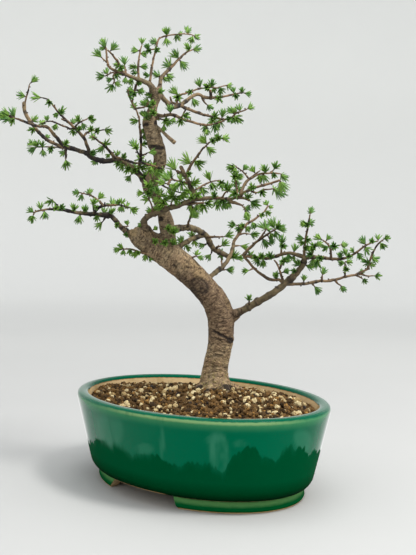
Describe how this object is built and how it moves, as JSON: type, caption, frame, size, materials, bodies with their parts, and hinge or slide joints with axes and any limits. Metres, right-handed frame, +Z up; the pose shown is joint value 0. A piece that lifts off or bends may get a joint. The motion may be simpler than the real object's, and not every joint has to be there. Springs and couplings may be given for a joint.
{
  "type": "larch bonsai in an oval glazed pot",
  "caption": "Informal upright larch bonsai with a curved bare trunk and open tufted branches, growing in gravelly soil in an oval green glazed pot on two low feet.",
  "frame": {"origin": "middle of the whole object's box, on the surface that the pot stands on", "axes": "+Z up; X along the pot's long side, Y along its short side"},
  "size_m": [0.3646, 0.3324, 0.4633],
  "materials": {
    "green_glaze": "gloss green glaze",
    "black_mesh": "matte black",
    "gravel_soil": "loose grit of pumice, akadama and bark",
    "bark": "rough grey-brown bark",
    "needles": "fresh green needles, slightly waxy"
  },
  "bodies": {
    "root": {"pot": "green_glaze", "screen_left": "black_mesh", "screen_right": "black_mesh", "soil": "gravel_soil", "trunk": "bark", "spray_left_limb": "needles", "spray_left_low": "needles", "spray_front": "needles", "spray_middle": "needles", "spray_back": "needles", "spray_right_limb": "needles", "spray_crown_left": "needles", "spray_crown_top": "needles", "spray_crown_right": "needles", "spray_crown_low": "needles"}
  },
  "joints": []
}
